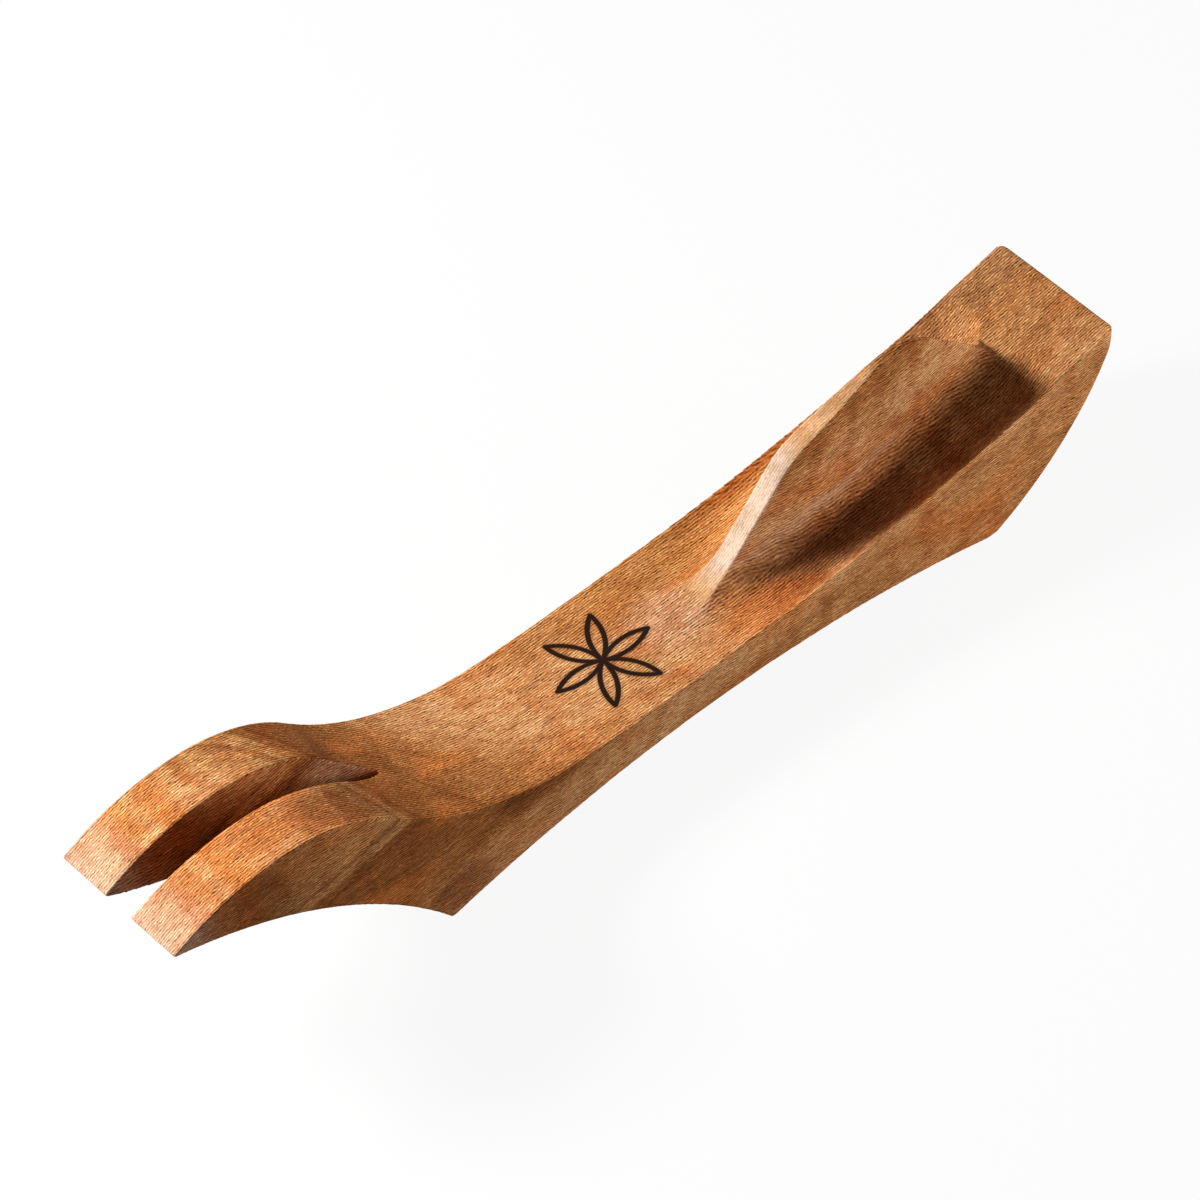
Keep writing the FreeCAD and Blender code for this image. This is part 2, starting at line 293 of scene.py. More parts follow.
wood, tree, out = new_material("oiled_curly_cherry")
coords = add(tree, "TexCoord")
place = add(tree, "Mapping", {"Vector": coords.outputs["Object"], "Location": (-TIP, 0, 0),
                              "Scale": (1 / MM, 1 / MM, 1 / MM)})
split = add(tree, "SeparateXYZ", {0: place.outputs[0]})
print("the tips are at", round(TIP, 1), "mm")

# %% [markdown]
# Curl is a wave in the fibres. They rise and dive along the plank about every nine millimetres, so
# the strokes on the side face sway, and each dive shows as a bar across the plank. The wave is
# worked out first, because the rings and the fibres both sway with it. A slow noise keeps it from
# being too regular.

# %% The curl wave
CURL_LENGTH = 9.0
CURL_HEIGHT = 0.2
CURL_WANDER = 1.6
WANDER_SIZE = 45.0
WANDER_HEIGHT = 3.0
NOISE_MIDDLE = (0.5, 0.5, 0.5)
UNEVEN_SIZE = (40.0, 14.0, 14.0)
UNEVEN_RANGE = (0.25, 0.75)

wander = add(tree, "TexNoise", {"Vector": place.outputs[0], "Scale": 1 / WANDER_SIZE,
                                "Detail": 1.0})
wander = add(tree, "VectorMath", {0: wander.outputs["Color"], 1: NOISE_MIDDLE}, operation="SUBTRACT")
wander = add(tree, "VectorMath", {0: wander.outputs[0], "Scale": WANDER_HEIGHT}, operation="SCALE")
moved = add(tree, "VectorMath", {0: place.outputs[0], 1: wander.outputs[0]}, operation="ADD")
uneven = add(tree, "Mapping", {"Vector": place.outputs[0], "Scale": UNEVEN_SIZE},
             vector_type="TEXTURE")
uneven = add(tree, "TexNoise", {"Vector": uneven.outputs[0], "Scale": 1.0, "Detail": 1.0})
uneven = add(tree, "MapRange", {"Value": uneven.outputs["Fac"], "From Min": UNEVEN_RANGE[0],
                                "From Max": UNEVEN_RANGE[1], "To Min": -CURL_WANDER,
                                "To Max": CURL_WANDER})
wave_turn = add(tree, "Math", {0: split.outputs["X"], 1: 2 * math.pi / CURL_LENGTH,
                               2: uneven.outputs[0]}, operation="MULTIPLY_ADD")
sway = add(tree, "Math", {0: wave_turn.outputs[0]}, operation="SINE")
sway = add(tree, "Math", {0: sway.outputs[0], 1: CURL_HEIGHT}, operation="MULTIPLY")
print("curl every", CURL_LENGTH, "mm")

# %% [markdown]
# The growth rings are wide and nearly flat here, tilted a little along the plank and more across
# it. So one number, how far a point lies across the rings, gives the ring colours: light wood on
# the prongs, a pale line, a broad brown band behind them and lighter wood in the waist and tail.

# %% Growth rings
RING_TILT = (-0.2, -0.5, 1.0)
RING_SWAY = 0.6
RING_LOW = -25.0
RING_HIGH = 60.0
RING_COLOURS = (
    (-25.0, "#c78a50"), (-11.0, "#cb8e54"), (-9.6, "#b67c48"), (-8.2, "#d29459"),
    (-3.0, "#e2a46a"), (1.5, "#dca066"), (4.6, "#d6985e"), (7.5, "#b87b43"), (18.0, "#9f6532"),
    (30.0, "#955b2a"), (32.0, "#9c6230"), (33.2, "#cf965a"), (34.6, "#d8a064"),
    (35.3, "#986030"), (37.5, "#d0985c"), (43.0, "#da9a60"), (60.0, "#da9a60"),
)

across = add(tree, "VectorMath", {0: moved.outputs[0], 1: RING_TILT}, operation="DOT_PRODUCT")
across = add(tree, "Math", {0: sway.outputs[0], 1: RING_SWAY, 2: across.outputs["Value"]},
             operation="MULTIPLY_ADD")
ring_share = add(tree, "MapRange", {"Value": across.outputs[0], "From Min": RING_LOW,
                                    "From Max": RING_HIGH})
ring_stops = [((mm - RING_LOW) / (RING_HIGH - RING_LOW), linear(tone)) for mm, tone in RING_COLOURS]
rings = add(tree, "ValToRGB", {0: ring_share.outputs[0]}, stops=ring_stops)
print("ring colours:", len(RING_COLOURS))

# %% [markdown]
# Between those broad bands lie the yearly rings, a couple of millimetres apart and faint in cherry.
# A noise that reads only the distance across the rings draws them as parallel lines.

# %% Yearly rings
YEAR_WIDTH = 2.2
YEAR_TONE = "#b98f70"
YEAR_RANGE = (0.5, 0.75)
YEAR_STRENGTH = 0.4
# A mix node has sockets for every kind of value. These are the numbers of those for colours.
FACTOR, FIRST, SECOND, MIXED = 0, 6, 7, 2

years = add(tree, "TexNoise", {"W": across.outputs[0], "Scale": 1 / YEAR_WIDTH, "Detail": 2.0},
            noise_dimensions="1D")
years = add(tree, "MapRange", {"Value": years.outputs["Fac"], "From Min": YEAR_RANGE[0],
                               "From Max": YEAR_RANGE[1], "To Max": YEAR_STRENGTH})
toned = add(tree, "Mix", {FACTOR: years.outputs[0], FIRST: rings.outputs[0],
                          SECOND: linear(YEAR_TONE)}, data_type="RGBA", blend_type="MULTIPLY")
print("yearly rings about", YEAR_WIDTH, "mm apart")

# %% [markdown]
# Where the curly fibres dive into the surface they drink the oil and turn a deep orange brown, so
# a bar crosses the plank at each wave. The bars are strong on the prongs and towards the tail and
# faint on the waist, and a noise makes them come and go.

# %% Curl bars
BAR_TONE = "#cdac8c"
BAR_RANGE = (-0.1, 0.9)
PLANK_REACH = 240.0
BAR_STRENGTHS = (
    (0, 0.2), (6, 1.0), (20, 1.0), (30, 0.5), (60, 0.35), (120, 0.35), (150, 0.5), (205, 0.6),
    (225, 0.4),
)
BAR_BREAK_SIZE = (12.0, 14.0, 14.0)
BAR_BREAK_RANGE = (0.35, 0.6)

bar = add(tree, "Math", {0: wave_turn.outputs[0]}, operation="COSINE")
bar = add(tree, "MapRange", {"Value": bar.outputs[0], "From Min": BAR_RANGE[0],
                             "From Max": BAR_RANGE[1]})
along_plank = add(tree, "MapRange", {"Value": split.outputs["X"], "From Max": PLANK_REACH})
bar_stops = [(mm / PLANK_REACH, (share, share, share, 1)) for mm, share in BAR_STRENGTHS]
bar_share = add(tree, "ValToRGB", {0: along_plank.outputs[0]}, stops=bar_stops)
gaps = add(tree, "Mapping", {"Vector": moved.outputs[0], "Scale": BAR_BREAK_SIZE},
           vector_type="TEXTURE")
gaps = add(tree, "TexNoise", {"Vector": gaps.outputs[0], "Scale": 1.0, "Detail": 1.0})
gaps = add(tree, "MapRange", {"Value": gaps.outputs["Fac"], "From Min": BAR_BREAK_RANGE[0],
                              "From Max": BAR_BREAK_RANGE[1]})
bar = add(tree, "Math", {0: bar.outputs[0], 1: bar_share.outputs[0]}, operation="MULTIPLY")
bar = add(tree, "Math", {0: bar.outputs[0], 1: gaps.outputs[0]}, operation="MULTIPLY")
barred = add(tree, "Mix", {FACTOR: bar.outputs[0], FIRST: toned.outputs[MIXED],
                           SECOND: linear(BAR_TONE)}, data_type="RGBA", blend_type="MULTIPLY")
print("strongest bars:", max(share for mm, share in BAR_STRENGTHS))

# %% [markdown]
# Oil brings up orange where the wood is softer: in soft patches all over, in the first two bars
# behind the tips, and on the front of the near hollow. A noise gives the patches, a ramp along the
# plank gives the bars, and the one in the hollow is a soft round spot at a chosen place. Spots are
# needed again for the next tones, so a function makes one.

# %% Orange wood
ORANGE = "#d67e3c"
PATCH_SIZE = (30.0, 9.0, 9.0)
PATCH_RANGE = (0.48, 0.68)
PATCH_STRENGTH = 0.7
FLAME_REACH = 40.0
FLAMES = (
    (0, 0.0), (6, 0.1), (8, 0.85), (11.5, 0.8), (14, 0.15), (16.5, 0.9), (19.5, 0.8), (22.5, 0.1),
)
FLAME_RANGE = (0.35, 0.55)
FLAME_LEAST = 0.4
HOLLOW_PATCH = (151.0, -12.0, 19.0), (16.0, 7.0, 6.0), 0.8
SPOT_FADE = (1.2, 0.4)


def spot(middle, size, most):
    """A soft round patch in the wood: its middle and half widths in mm, and its share there."""
    near = add(tree, "Mapping", {"Vector": moved.outputs[0], "Location": middle, "Scale": size},
               vector_type="TEXTURE")
    near = add(tree, "VectorMath", {0: near.outputs[0]}, operation="LENGTH")
    near = add(tree, "MapRange", {"Value": near.outputs["Value"], "From Min": SPOT_FADE[0],
                                  "From Max": SPOT_FADE[1], "To Max": most},
               interpolation_type="SMOOTHSTEP")
    return near.outputs[0]


patch = add(tree, "Mapping", {"Vector": moved.outputs[0], "Scale": PATCH_SIZE}, vector_type="TEXTURE")
patch = add(tree, "TexNoise", {"Vector": patch.outputs[0], "Scale": 1.0, "Detail": 2.0})
soft = add(tree, "MapRange", {"Value": patch.outputs["Fac"], "From Min": PATCH_RANGE[0],
                              "From Max": PATCH_RANGE[1], "To Max": PATCH_STRENGTH})
flame_place = add(tree, "MapRange", {"Value": split.outputs["X"], "From Max": FLAME_REACH})
flame_stops = [(mm / FLAME_REACH, (share, share, share, 1)) for mm, share in FLAMES]
flame = add(tree, "ValToRGB", {0: flame_place.outputs[0]}, stops=flame_stops)
flicker = add(tree, "MapRange", {"Value": patch.outputs["Fac"], "From Min": FLAME_RANGE[0],
                                 "From Max": FLAME_RANGE[1], "To Min": FLAME_LEAST})
flame = add(tree, "Math", {0: flame.outputs[0], 1: flicker.outputs[0]}, operation="MULTIPLY")
orange = add(tree, "Math", {0: soft.outputs[0], 1: flame.outputs[0]}, operation="MAXIMUM")
orange = add(tree, "Math", {0: orange.outputs[0], 1: spot(*HOLLOW_PATCH)}, operation="MAXIMUM")
warm = add(tree, "Mix", {FACTOR: orange.outputs[0], FIRST: barred.outputs[MIXED],
                         SECOND: linear(ORANGE)}, data_type="RGBA", blend_type="MIX")
print("orange bars end", FLAMES[-1][0], "mm behind the tips")

# %% [markdown]
# Along the far edge the tone changes from the waist to the tail: orange at first, honey beside the
# fin, and brown towards the tail. One ramp along the plank holds the tone in its colour and its
# share in its alpha. It keeps off the faces that look to the far side, which have the tone of the
# rings.

# %% The far edge
FAR_EDGE = (2.0, 10.0)
FAR_RIM = (0.5, 0.9)
FAR_TONES = (
    (112, "#c98444", 0.0), (128, "#c98444", 0.7), (150, "#d48c48", 0.8), (163, "#f6a65a", 0.85),
    (188, "#ffb468", 0.9), (203, "#c48648", 0.6), (215, "#b08050", 0.5), (235, "#a87a4c", 0.6),
)

far_side = add(tree, "MapRange", {"Value": split.outputs["Y"], "From Min": FAR_EDGE[0],
                                  "From Max": FAR_EDGE[1]}, interpolation_type="SMOOTHSTEP")
facing = add(tree, "NewGeometry")
facing = add(tree, "SeparateXYZ", {0: facing.outputs["Normal"]})
far_rim = add(tree, "MapRange", {"Value": facing.outputs["Y"], "From Min": FAR_RIM[1],
                                 "From Max": FAR_RIM[0]})
far_stops = [(mm / PLANK_REACH, linear(tone)[:3] + [share]) for mm, tone, share in FAR_TONES]
far_tone = add(tree, "ValToRGB", {0: along_plank.outputs[0]}, stops=far_stops)
far = add(tree, "Math", {0: far_side.outputs[0], 1: far_tone.outputs["Alpha"]}, operation="MULTIPLY")
far = add(tree, "Math", {0: far.outputs[0], 1: far_rim.outputs[0]}, operation="MULTIPLY")
warm = add(tree, "Mix", {FACTOR: far.outputs[0], FIRST: warm.outputs[MIXED],
                         SECOND: far_tone.outputs["Color"]}, data_type="RGBA", blend_type="MIX")
print("far edge toned from", FAR_TONES[0][0], "to", FAR_TONES[-1][0], "mm behind the tips")

# %% [markdown]
# Some of the wood is darker: a patch behind the crest of the near prong, a faint cloud on the fin
# and a cloud under the near top edge. Two more are painted: a painted shadow along the floor of the
# near hollow, where the fin shades it, and painted shade low on the near side face, close to the
# floor. The side face has its own marks, so that the painted shadow in the hollow doesn't show on it.

# %% Darker wood and painted shade
BROWN_AND_SHADE = "#a89078"
PRONG_PATCH = (43.0, -11.0, 44.0), (17.0, 9.0, 9.0), 0.75
# Painted shadow: the fin's shadow on the floor of the near hollow.
FLOOR_SHADOW = (167.0, -10.0, 21.5), (22.0, 9.0, 6.0), 0.75
FIN_CLOUD = (197.0, -4.0, 32.0), (15.0, 4.0, 10.0), 0.3
EDGE_CLOUD = (88.0, -16.0, 21.0), (15.0, 6.0, 6.0), 0.7
# Painted shade low on the near side face, close to the floor.
LOW_SIDE_SHADE = (68.0, -16.0, 6.0), (9.0, 5.0, 7.0), 0.7
NEAR_FACE = (-15.0, -15.8)
# The sockets of a mix node for plain numbers.
FIRST_NUMBER, SECOND_NUMBER = 2, 3

near_side = add(tree, "MapRange", {"Value": split.outputs["Y"], "From Min": NEAR_FACE[0],
                                   "From Max": NEAR_FACE[1]})
clouds = add(tree, "Math", {0: spot(*EDGE_CLOUD), 1: spot(*LOW_SIDE_SHADE)}, operation="MAXIMUM")
inside = add(tree, "Math", {0: spot(*PRONG_PATCH), 1: spot(*FLOOR_SHADOW)}, operation="MAXIMUM")
inside = add(tree, "Math", {0: inside.outputs[0], 1: spot(*FIN_CLOUD)}, operation="MAXIMUM")
brown = add(tree, "Mix", {FACTOR: near_side.outputs[0], FIRST_NUMBER: inside.outputs[0],
                          SECOND_NUMBER: clouds.outputs[0]}, data_type="FLOAT")
# Multiplies in the darker tone, which is also the painted shadow and the painted shade.
warm = add(tree, "Mix", {FACTOR: brown.outputs[0], FIRST: warm.outputs[MIXED],
                         SECOND: linear(BROWN_AND_SHADE)}, data_type="RGBA", blend_type="MULTIPLY")
# The streak printed here is the painted shadow in the hollow.
print("brown streak in the hollow:", 2 * FLOOR_SHADOW[1][0], "mm long")

# %% [markdown]
# The side faces of the prongs, on the outside and in the slot, get painted shade: a darker tone
# where they lie in shade. The walls at the slot's end get painted light instead: a paler tone where
# the lamp reaches them.

# %% Painted shade and light on the side faces
SIDE_SHADE_TONE = "#b8ae9c"
SIDEWAYS_FACES = (0.6, 0.9)
SIDE_SHADE_REACH = (22.0, 40.0)
SLOT_END_LIGHT = (54.0, 2.0, 36.0), (10.0, 4.0, 9.0), 0.6
SLOT_LIGHT_TONE = "#e6ae80"

sideways = add(tree, "Math", {0: facing.outputs["Y"]}, operation="ABSOLUTE")
shaded_and_lit = add(tree, "MapRange", {"Value": sideways.outputs[0], "From Min": SIDEWAYS_FACES[0],
                              "From Max": SIDEWAYS_FACES[1]})
# Painted light on the walls at the slot's end.
slot_end_light = add(tree, "Math", {0: shaded_and_lit.outputs[0], 1: spot(*SLOT_END_LIGHT)}, operation="MULTIPLY")
warm = add(tree, "Mix", {FACTOR: slot_end_light.outputs[0], FIRST: warm.outputs[MIXED],
                         SECOND: linear(SLOT_LIGHT_TONE)}, data_type="RGBA", blend_type="MIX")
# Painted shade on the side faces of the prongs and in the slot.
prongs = add(tree, "MapRange", {"Value": split.outputs["X"], "From Min": SIDE_SHADE_REACH[1],
                                "From Max": SIDE_SHADE_REACH[0]})
shaded_and_lit = add(tree, "Math", {0: shaded_and_lit.outputs[0], 1: prongs.outputs[0]}, operation="MULTIPLY")
warm = add(tree, "Mix", {FACTOR: shaded_and_lit.outputs[0], FIRST: warm.outputs[MIXED],
                         SECOND: linear(SIDE_SHADE_TONE)}, data_type="RGBA", blend_type="MULTIPLY")
print("sawn faces fade out by", SIDE_SHADE_REACH[1], "mm behind the tips")

# %% [markdown]
# A painted highlight lies on the last millimetres of the tips and on the front of the fin, which
# faces the tips and the lamp: a pale tone stands in for the lamp's glossy reflection there. On the
# fin a ramp over the slope of the face gives the palest tone to the steepest wood. A paler patch
# also lies on the wood at the foot of the fin's ramp.

# %% Painted highlights on the tips and the fin
TIP_HIGHLIGHT_LENGTH = 12.0
TIP_HIGHLIGHT_TONE = "#e4c8ae"
TIP_HIGHLIGHT_STRENGTH = 0.45
PALE_FOOT = (135.0, -1.0, 20.0), (11.0, 9.0, 6.0), 0.5
FOOT_TONE = "#eab488"
FIN_HIGHLIGHT_SPAN = (126.0, 142.0, 178.0, 200.0)
FIN_HIGHLIGHT_SLOPES = ((0.08, "#ecb880", 0.0), (0.3, "#ecb880", 0.7), (0.6, "#e4c8ae", 0.85))

# Painted highlight on the last millimetres of the tips.
tips = add(tree, "MapRange", {"Value": split.outputs["X"], "From Min": TIP_HIGHLIGHT_LENGTH, "From Max": 0.0,
                              "To Max": TIP_HIGHLIGHT_STRENGTH})
warm = add(tree, "Mix", {FACTOR: tips.outputs[0], FIRST: warm.outputs[MIXED],
                         SECOND: linear(TIP_HIGHLIGHT_TONE)}, data_type="RGBA", blend_type="MIX")
warm = add(tree, "Mix", {FACTOR: spot(*PALE_FOOT), FIRST: warm.outputs[MIXED],
                         SECOND: linear(FOOT_TONE)}, data_type="RGBA", blend_type="MIX")
# Painted highlight on the front of the fin: the more the face looks towards the tips, the paler.
forward = add(tree, "Math", {0: facing.outputs["X"], 1: -1.0}, operation="MULTIPLY")
highlight_stops = [(steep, linear(tone)[:3] + [share]) for steep, tone, share in FIN_HIGHLIGHT_SLOPES]
slope = add(tree, "ValToRGB", {0: forward.outputs[0]}, stops=highlight_stops)
front = add(tree, "MapRange", {"Value": split.outputs["X"], "From Min": FIN_HIGHLIGHT_SPAN[0],
                               "From Max": FIN_HIGHLIGHT_SPAN[1]})
back = add(tree, "MapRange", {"Value": split.outputs["X"], "From Min": FIN_HIGHLIGHT_SPAN[3],
                              "From Max": FIN_HIGHLIGHT_SPAN[2]})
fin = add(tree, "Math", {0: front.outputs[0], 1: back.outputs[0]}, operation="MULTIPLY")
fin = add(tree, "Math", {0: fin.outputs[0], 1: slope.outputs["Alpha"]}, operation="MULTIPLY")
warm = add(tree, "Mix", {FACTOR: fin.outputs[0], FIRST: warm.outputs[MIXED],
                         SECOND: slope.outputs["Color"]}, data_type="RGBA", blend_type="MIX")
print("pale over", TIP_HIGHLIGHT_LENGTH, "mm of the tips")

# %% [markdown]
# A painted sheen runs along the fin where its flank turns into the floor of the near hollow: a
# paler, greyer line stands in for the glossy reflection on that round. It is found by its slope:
# the flank above it is steeper, and the floor below it lies flatter.

# %% The painted sheen along the fin
SHEEN_SPOT = (170.0, 0.0, 26.0), (30.0, 9.0, 14.0), 0.45
SHEEN_SLOPES = ((0.08, 0.0), (0.25, 1.0), (0.5, 0.0))
SHEEN_TONE = "#dcb090"

# Painted sheen: a paler, greyer line where the fin's flank turns into the floor.
sheen_stops = [(level, (share, share, share, 1)) for level, share in SHEEN_SLOPES]
sheen = add(tree, "ValToRGB", {0: facing.outputs["Z"]}, stops=sheen_stops)
sheen = add(tree, "Math", {0: sheen.outputs[0], 1: spot(*SHEEN_SPOT)}, operation="MULTIPLY")
warm = add(tree, "Mix", {FACTOR: sheen.outputs[0], FIRST: warm.outputs[MIXED],
                         SECOND: linear(SHEEN_TONE)}, data_type="RGBA", blend_type="MIX")
# The painted highlights and the painted sheen together. The fibres are calmer under them.
highlight_and_sheen = add(tree, "Math", {0: fin.outputs[0], 1: tips.outputs[0]}, operation="MAXIMUM")
highlight_and_sheen = add(tree, "Math", {0: highlight_and_sheen.outputs[0], 1: sheen.outputs[0]}, operation="MAXIMUM")
print("rubbed line about", 2 * SHEEN_SPOT[1][0], "mm long")

# %% [markdown]
# Cherry's fibres and pores are far under a tenth of a millimetre wide, too fine for this picture,
# so they are drawn several times as wide: as fine parallel lines along the plank, which a noise
# breaks into short strokes. On the top they lie side by side across the plank. On the sides they
# lie one above the other and a little wider apart, and there they sway with the curl.

# %% Fibres and pores
FIBRE_GAP = 0.55
SIDE_STRETCH = 0.88
SIDE_STRENGTH = 0.9
SIDE_FACES = (0.62, 0.7)
BREAK_SIZE = (1.1, 0.5, 0.5)
BREAK_TURNS = 1.1
BREAK_STRENGTHS = (0.35, 0.6)
FIBRE_CURVE = 1.5

bent = add(tree, "CombineXYZ", {"Z": sway.outputs[0]})
bent = add(tree, "VectorMath", {0: moved.outputs[0], 1: bent.outputs[0]}, operation="ADD")
layers = add(tree, "SeparateXYZ", {0: bent.outputs[0]})
sides = add(tree, "MapRange", {"Value": sideways.outputs[0], "From Min": SIDE_FACES[0],
                               "From Max": SIDE_FACES[1]})
upright = add(tree, "Math", {0: layers.outputs["Z"], 1: SIDE_STRETCH}, operation="MULTIPLY")
breaks = add(tree, "Mapping", {"Vector": bent.outputs[0], "Scale": BREAK_SIZE}, vector_type="TEXTURE")
breaks = add(tree, "TexNoise", {"Vector": breaks.outputs[0], "Scale": 1.0, "Detail": 1.0})


def strokes(layer):
    """Fine parallel lines, one for each gap in the layers, that the noise shifts here and there."""
    turn = add(tree, "Math", {0: breaks.outputs["Fac"], 1: BREAK_TURNS * FIBRE_GAP, 2: layer},
               operation="MULTIPLY_ADD")
    turn = add(tree, "Math", {0: turn.outputs[0], 1: 2 * math.pi / FIBRE_GAP}, operation="MULTIPLY")
    return add(tree, "Math", {0: turn.outputs[0]}, operation="SINE").outputs[0]


fibre = add(tree, "Mix", {FACTOR: sides.outputs[0], FIRST_NUMBER: strokes(layers.outputs["Y"]),
                          SECOND_NUMBER: strokes(upright.outputs[0])}, data_type="FLOAT")
strength = add(tree, "SeparateXYZ", {0: breaks.outputs["Color"]})
strength = add(tree, "MapRange", {"Value": strength.outputs["Y"], "From Min": BREAK_STRENGTHS[0],
                                  "From Max": BREAK_STRENGTHS[1]})
fibre = add(tree, "Math", {0: fibre.outputs[0], 1: strength.outputs[0]}, operation="MULTIPLY")
crisp = add(tree, "MapRange", {"Value": sides.outputs[0], "To Min": 1.0, "To Max": SIDE_STRENGTH})
fibre = add(tree, "Math", {0: fibre.outputs[0], 1: crisp.outputs[0]}, operation="MULTIPLY")
fibre = add(tree, "MapRange", {"Value": fibre.outputs[0], "From Min": -1.0})
fibre = add(tree, "Math", {0: fibre.outputs[0], 1: FIBRE_CURVE}, operation="POWER")
print("fibres drawn", FIBRE_GAP, "mm apart")

# %% [markdown]
# The dark strokes are the oily ones and so the redder, and the pale ones are dry. Under the painted
# highlights and the painted sheen the strokes are calmer. Longer fibres and a soft mottle vary the
# tone over some millimetres, each from a noise of its own, and nothing gets paler than bare dry wood.

# %% Shades of the fibres
DARK_FIBRE = (0.26, 0.16, 0.07)
PALE_FIBRE = (2.18, 2.23, 2.44)
HIGHLIGHT_CALM = 0.8
LONG_FIBRE_SIZE = (9.0, 0.6, 0.6)
LONG_FIBRE_SHADES = (0.84, 1.16)
MOTTLE_SIZE = (7.0, 3.5, 3.5)
DARK_MOTTLE = (0.83, 0.79, 0.72)
PALE_MOTTLE = (1.16, 1.2, 1.34)
NOISE_LOW = 0.3
NOISE_HIGH = 0.7
PALEST = "#ffd8b8"
# The sockets of a range node and of a mix node for vectors.
VALUES, FROM_LOW, FROM_HIGH, TO_LOW, TO_HIGH = 6, 7, 8, 9, 10
FIRST_VECTOR, SECOND_VECTOR, MIXED_VECTOR = 4, 5, 1

shade = add(tree, "MapRange", {VALUES: fibre.outputs[0], TO_LOW: DARK_FIBRE, TO_HIGH: PALE_FIBRE},
            data_type="FLOAT_VECTOR")
# Calmer strokes under the painted highlights and the painted sheen.
calm = add(tree, "Math", {0: highlight_and_sheen.outputs[0], 1: HIGHLIGHT_CALM}, operation="MULTIPLY")
shade = add(tree, "Mix", {FACTOR: calm.outputs[0], FIRST_VECTOR: shade.outputs["Vector"],
                          SECOND_VECTOR: (1, 1, 1)}, data_type="VECTOR")
grained = add(tree, "VectorMath", {0: warm.outputs[MIXED], 1: shade.outputs[MIXED_VECTOR]},
              operation="MULTIPLY")
streak = add(tree, "Mapping", {"Vector": bent.outputs[0], "Scale": LONG_FIBRE_SIZE},
             vector_type="TEXTURE")
streak = add(tree, "TexNoise", {"Vector": streak.outputs[0], "Scale": 1.0, "Detail": 2.0})
shade = add(tree, "MapRange", {"Value": streak.outputs["Fac"], "From Min": NOISE_LOW,
                               "From Max": NOISE_HIGH, "To Min": LONG_FIBRE_SHADES[0],
                               "To Max": LONG_FIBRE_SHADES[1]})
grained = add(tree, "VectorMath", {0: grained.outputs[0], "Scale": shade.outputs[0]},
              operation="SCALE")
mottle = add(tree, "Mapping", {"Vector": moved.outputs[0], "Scale": MOTTLE_SIZE},
             vector_type="TEXTURE")
mottle = add(tree, "TexNoise", {"Vector": mottle.outputs[0], "Scale": 1.0, "Detail": 2.0})
shade = add(tree, "MapRange", {VALUES: mottle.outputs["Fac"], FROM_LOW: [NOISE_LOW] * 3,
                               FROM_HIGH: [NOISE_HIGH] * 3, TO_LOW: DARK_MOTTLE,
                               TO_HIGH: PALE_MOTTLE}, data_type="FLOAT_VECTOR")
grained = add(tree, "VectorMath", {0: grained.outputs[0], 1: shade.outputs["Vector"]},
              operation="MULTIPLY")
grained = add(tree, "VectorMath", {0: grained.outputs[0], 1: linear(PALEST)[:3]},
              operation="MINIMUM")
print("mottle about", MOTTLE_SIZE[0], "mm long")

# %% [markdown]
# The waist carries a small ornament burnt into the wood with a hot wire: a six-petalled rosette,
# the old compass flower that carvers draw with one setting of the dividers. Each petal is edged by
# two arcs with the flower's own radius. Folding the circle into one half petal means that a single
# arc has to be worked out, and the fold repeats it twelve times. Only faces that look up take it.

# %% The burnt rosette
ROSETTE_AT = (117.8, 0.0)
ROSETTE_RADIUS = 11.5
PETALS = 6
LINE_WIDTH = 1.0
LINE_BLUR = 0.12
SCORCH_WIDTH = 0.7
SCORCH_STRENGTH = 0.35
LOOKS_UP = 0.5
SCORCH = "#6a4428"
CHAR = "#241309"

flat = add(tree, "Mapping", {"Vector": place.outputs[0],
                             "Location": (-ROSETTE_AT[0], -ROSETTE_AT[1], 0)})
flat = add(tree, "SeparateXYZ", {0: flat.outputs[0]})
angle = add(tree, "Math", {0: flat.outputs["Y"], 1: flat.outputs["X"]}, operation="ARCTAN2")
angle = add(tree, "Math", {0: angle.outputs[0], 1: math.pi / PETALS}, operation="PINGPONG")
spoke = add(tree, "CombineXYZ", {"X": flat.outputs["X"], "Y": flat.outputs["Y"]})
spoke = add(tree, "VectorMath", {0: spoke.outputs[0]}, operation="LENGTH")
along = add(tree, "Math", {0: angle.outputs[0]}, operation="COSINE")
along = add(tree, "Math", {0: along.outputs[0], 1: spoke.outputs["Value"]}, operation="MULTIPLY")
aside = add(tree, "Math", {0: angle.outputs[0]}, operation="SINE")
aside = add(tree, "Math", {0: aside.outputs[0], 1: spoke.outputs["Value"]}, operation="MULTIPLY")
folded = add(tree, "CombineXYZ", {"X": along.outputs[0], "Y": aside.outputs[0]})
compass_point = (ROSETTE_RADIUS / 2, -ROSETTE_RADIUS * math.sqrt(3) / 2, 0)
reach = add(tree, "VectorMath", {0: folded.outputs[0], 1: compass_point}, operation="DISTANCE")
off_arc = add(tree, "Math", {0: reach.outputs["Value"], 1: ROSETTE_RADIUS}, operation="SUBTRACT")
off_arc = add(tree, "Math", {0: off_arc.outputs[0]}, operation="ABSOLUTE")
beyond = add(tree, "Math", {0: spoke.outputs["Value"], 1: ROSETTE_RADIUS}, operation="SUBTRACT")
off_line = add(tree, "Math", {0: off_arc.outputs[0], 1: beyond.outputs[0]}, operation="MAXIMUM")
burnt = add(tree, "MapRange", {"Value": off_line.outputs[0], "From Min": LINE_WIDTH / 2 + LINE_BLUR,
                               "From Max": LINE_WIDTH / 2 - LINE_BLUR})
scorch = add(tree, "MapRange", {"Value": off_line.outputs[0],
                                "From Min": LINE_WIDTH / 2 + SCORCH_WIDTH,
                                "From Max": LINE_WIDTH / 2, "To Max": SCORCH_STRENGTH})
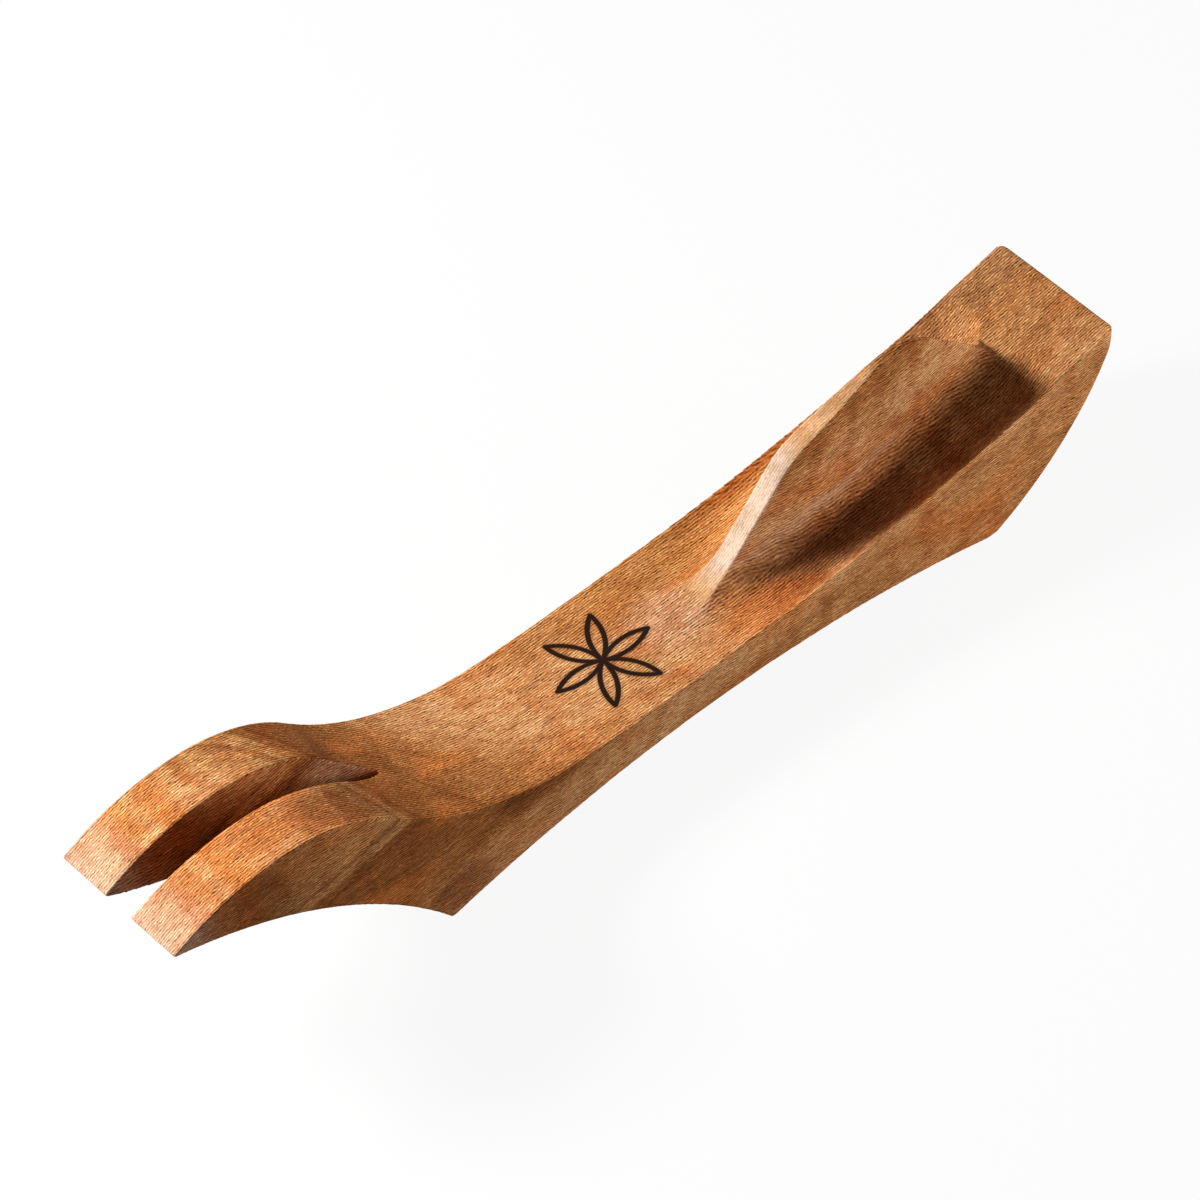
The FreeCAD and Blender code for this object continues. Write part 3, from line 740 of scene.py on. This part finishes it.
upward = add(tree, "Math", {0: facing.outputs["Z"], 1: LOOKS_UP}, operation="GREATER_THAN")
burnt = add(tree, "Math", {0: burnt.outputs[0], 1: upward.outputs[0]}, operation="MULTIPLY")
scorch = add(tree, "Math", {0: scorch.outputs[0], 1: upward.outputs[0]}, operation="MULTIPLY")
marked = add(tree, "Mix", {FACTOR: scorch.outputs[0], FIRST: grained.outputs[0],
                           SECOND: linear(SCORCH)}, data_type="RGBA", blend_type="MIX")
marked = add(tree, "Mix", {FACTOR: burnt.outputs[0], FIRST: marked.outputs[MIXED],
                           SECOND: linear(CHAR)}, data_type="RGBA", blend_type="MIX")
print("rosette", 2 * ROSETTE_RADIUS, "mm across")

# %% [markdown]
# Oil soaks in and leaves a low satin gloss, not a film. That is one plain shader with a fairly
# high roughness that the fibres vary, and a shallow bump from the same fibres and the burnt lines.

# %% The oiled surface
WOOD_IOR = 1.5
WOOD_GLOSS = 0.08
GLOSS_SMOOTH = 0.65
GLOSS_ROUGH = 0.9
FIBRE_HEIGHT = 0.025 * MM
BURN_DEPTH = 0.25 * MM

gloss = add(tree, "MapRange", {"Value": fibre.outputs[0], "To Min": GLOSS_ROUGH,
                               "To Max": GLOSS_SMOOTH})
fine = add(tree, "Bump", {"Height": fibre.outputs[0], "Distance": FIBRE_HEIGHT, "Strength": 1.0})
pressed = add(tree, "Bump", {"Height": burnt.outputs[0], "Distance": BURN_DEPTH, "Strength": 1.0,
                             "Normal": fine.outputs[0]}, invert=True)
shader = add(tree, "BsdfPrincipled", {"Base Color": marked.outputs[MIXED],
                                      "Roughness": gloss.outputs[0],
                                      "Normal": pressed.outputs[0], "IOR": WOOD_IOR,
                                      "Specular IOR Level": WOOD_GLOSS})
tree.links.new(shader.outputs[0], out.inputs["Surface"])
body.data.materials.clear()
body.data.materials.append(wood)
print("wood nodes:", len(tree.nodes))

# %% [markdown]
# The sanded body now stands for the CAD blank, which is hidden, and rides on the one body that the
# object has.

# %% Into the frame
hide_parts("carved_body")
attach(body, "root")
